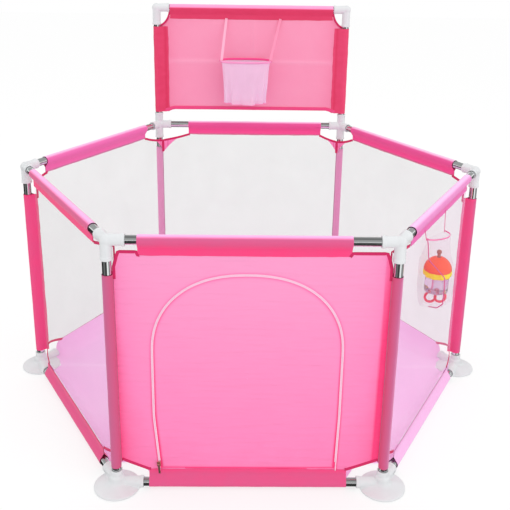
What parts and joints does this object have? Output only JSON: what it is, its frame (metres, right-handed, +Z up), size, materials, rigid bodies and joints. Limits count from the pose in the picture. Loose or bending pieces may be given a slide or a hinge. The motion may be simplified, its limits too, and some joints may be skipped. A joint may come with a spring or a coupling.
{
  "type": "playpen",
  "caption": "Hexagonal tube-frame children's playpen with mesh sides, a zipped fabric door, a toy pouch and a lift-off basketball backboard with hoop and net.",
  "frame": {"origin": "on the floor, under the centre of the hexagon", "axes": "+Z up, -Y towards the door side, +X towards the right-hand corner post seen from the door"},
  "size_m": [1.3914, 1.2204, 1.0556],
  "materials": {
    "steel_tube": "polished tube",
    "white_plastic": "satin moulded plastic",
    "pink_fabric": "plain woven polyester",
    "white_mesh": "sheer knitted mesh",
    "floor_fabric": "plain woven polyester",
    "zip_metal": "plated",
    "zip_tape": "moulded coil on woven tape",
    "white_net": "sheer net",
    "rattle_orange": "gloss",
    "rattle_yellow": "gloss",
    "rattle_clear": "clear gloss",
    "rattle_pink": "gloss"
  },
  "bodies": {
    "pen": {"foot_front_left": "white_plastic", "post_front_left": "steel_tube", "top_connector_front_left": "white_plastic", "post_sleeve_front_left": "pink_fabric", "foot_front_right": "white_plastic", "post_front_right": "steel_tube", "top_connector_front_right": "white_plastic", "post_sleeve_front_right": "pink_fabric", "foot_right": "white_plastic", "post_right": "steel_tube", "top_connector_right": "white_plastic", "post_sleeve_right": "pink_fabric", "foot_rear_right": "white_plastic", "post_rear_right": "steel_tube", "top_connector_rear_right": "white_plastic", "post_sleeve_rear_right": "pink_fabric", "foot_rear_left": "white_plastic", "post_rear_left": "steel_tube", "top_connector_rear_left": "white_plastic", "post_sleeve_rear_left": "pink_fabric", "foot_left": "white_plastic", "post_left": "steel_tube", "top_connector_left": "white_plastic", "post_sleeve_left": "pink_fabric", "bottom_rail_front": "steel_tube", "top_rail_front": "steel_tube", "side_panel_front": "pink_fabric", "bottom_rail_front_right": "steel_tube", "top_rail_front_right": "steel_tube", "side_panel_front_right": "white_mesh", "bottom_rail_rear_right": "steel_tube", "top_rail_rear_right": "steel_tube", "side_panel_rear_right": "white_mesh", "bottom_rail_rear": "steel_tube", "top_rail_rear": "steel_tube", "side_panel_rear": "white_mesh", "bottom_rail_rear_left": "steel_tube", "top_rail_rear_left": "steel_tube", "side_panel_rear_left": "white_mesh", "bottom_rail_front_left": "steel_tube", "top_rail_front_left": "steel_tube", "side_panel_front_left": "white_mesh", "floor_sheet": "floor_fabric", "zip_chain": "zip_tape"},
    "door": {"door_flap": "pink_fabric"},
    "slider": {"zip_slider": "zip_metal"},
    "pull": {"zip_pull": "zip_metal"},
    "backboard": {"upright_rear_right": "steel_tube", "upright_rear_left": "steel_tube", "elbow_rear_right": "white_plastic", "elbow_rear_left": "white_plastic", "backboard_top_bar": "steel_tube", "backboard_panel": "pink_fabric"},
    "hoop": {"hoop_ring": "pink_fabric", "hoop_net": "white_net"},
    "pouch": {"toy_pouch": "white_net"},
    "rattle": {"rattle_dome": "rattle_orange", "rattle_collar": "rattle_yellow", "rattle_drum": "rattle_clear", "rattle_base": "rattle_pink"}
  },
  "joints": [
    {"name": "door_open", "type": "hinge", "parent": "pen", "child": "door", "pos_m": [-0.01, -0.55426, 0.0518], "axis": [1, 0, 0], "range_deg": [0, 94]},
    {"name": "zip_run", "type": "slide", "parent": "pen", "child": "slider", "axis": [-0.08, 0, 0.9968], "range_m": [0, 0.1244]},
    {"name": "pull_swing", "type": "hinge", "parent": "slider", "child": "pull", "pos_m": [-0.21806, -0.56276, 0.06988], "axis": [-0.9968, 0, -0.08], "range_deg": [0, 150]},
    {"name": "backboard_lift", "type": "slide", "parent": "pen", "child": "backboard", "axis": [0, 0, 1], "range_m": [0, 0.05]},
    {"name": "hoop_fold", "type": "hinge", "parent": "backboard", "child": "hoop", "pos_m": [-0.018, 0.54906, 0.873], "axis": [-1, 0, 0], "range_deg": [0, 80], "deforming": ["hoop_net"]},
    {"name": "pouch_swing", "type": "hinge", "parent": "pen", "child": "pouch", "pos_m": [0.45177, -0.30702, 0.603], "axis": [-0.5, -0.866, 0], "range_deg": [0, 20]},
    {"name": "rattle_lift", "type": "slide", "parent": "pouch", "child": "rattle", "axis": [0, 0, 1], "range_m": [0, 0.085]}
  ]
}
